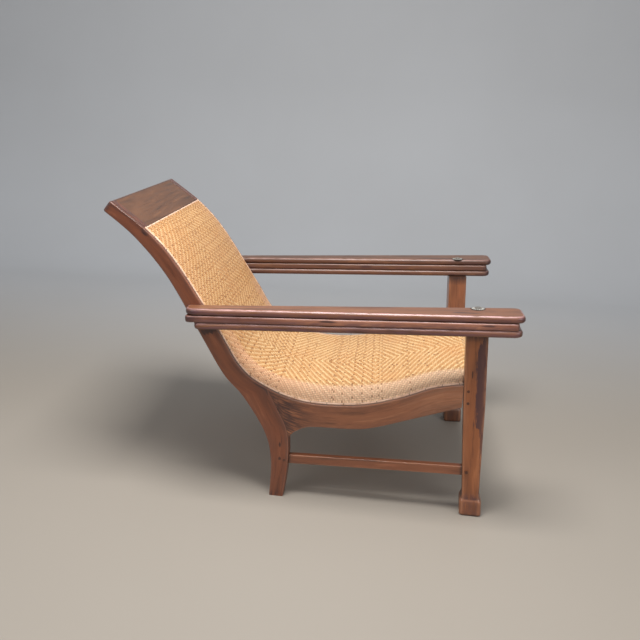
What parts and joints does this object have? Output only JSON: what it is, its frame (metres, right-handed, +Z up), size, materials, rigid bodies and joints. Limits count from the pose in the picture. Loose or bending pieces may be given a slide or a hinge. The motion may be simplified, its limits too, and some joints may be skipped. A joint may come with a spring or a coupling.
{
  "type": "planters chair",
  "caption": "Low reclining wooden armchair with a curved woven cane mat and long flat arms whose middle boards swing out in front as leg rests.",
  "frame": {"origin": "centre of the bounding box's footprint, on the floor", "axes": "+Z up, the chair faces -Y, the sitter's right is -X"},
  "size_m": [0.8458, 1.1224, 0.81],
  "materials": {
    "teak_frame": "oiled reddish brown teak, worn satin",
    "teak_leg": "teak with remains of dark varnish",
    "teak_arm": "hand-worn satin teak, rounded edges rubbed pale",
    "teak_head": "greyed brown teak, satin",
    "teak_peg": "dark end grain",
    "cane": "golden woven split cane, dry satin",
    "cane_bead": "pale cane, worn",
    "rosette_metal": "dull silvery metal, worn",
    "steel": "old steel"
  },
  "bodies": {
    "chair_frame": {"rear_leg_and_stile_right": "teak_frame", "rear_leg_and_stile_left": "teak_frame", "seat_rail_right": "teak_frame", "seat_rail_left": "teak_frame", "front_leg_right": "teak_leg", "front_leg_left": "teak_leg", "side_stretcher_right": "teak_frame", "side_stretcher_left": "teak_frame", "arm_top_board_right": "teak_arm", "arm_top_board_left": "teak_arm", "arm_base_board_right": "teak_arm", "arm_base_board_left": "teak_arm", "pivot_rosette_right": "rosette_metal", "pivot_rosette_left": "rosette_metal", "pivot_bolt_right": "steel", "pivot_bolt_left": "steel", "arm_screw_top_right": "steel", "arm_screw_top_left": "steel", "arm_screw_base_right": "steel", "arm_screw_base_left": "steel", "rail_peg_lower_right": "teak_peg", "rail_peg_lower_left": "teak_peg", "rail_peg_upper_right": "teak_peg", "rail_peg_upper_left": "teak_peg", "stretcher_peg_rear_right": "teak_peg", "stretcher_peg_rear_left": "teak_peg", "stretcher_peg_front_right": "teak_peg", "stretcher_peg_front_left": "teak_peg", "side_bead_right": "cane_bead", "side_bead_left": "cane_bead", "head_panel": "teak_head", "rear_cross_rail": "teak_frame", "front_rail": "teak_frame", "cane_mat": "cane", "head_bead": "cane_bead"},
    "leg_rest_right": {"leg_rest_leaf_right": "teak_arm"},
    "leg_rest_left": {"leg_rest_leaf_left": "teak_arm"}
  },
  "joints": [
    {"name": "leg_rest_right_swing", "type": "hinge", "parent": "chair_frame", "child": "leg_rest_right", "pos_m": [-0.3411, -0.44683, 0.585], "axis": [0, 0.0523, 0.9986], "range_deg": [0, 180]},
    {"name": "leg_rest_left_swing", "type": "hinge", "parent": "chair_frame", "child": "leg_rest_left", "pos_m": [0.3411, -0.44683, 0.585], "axis": [0, -0.0523, -0.9986], "range_deg": [0, 180]}
  ]
}
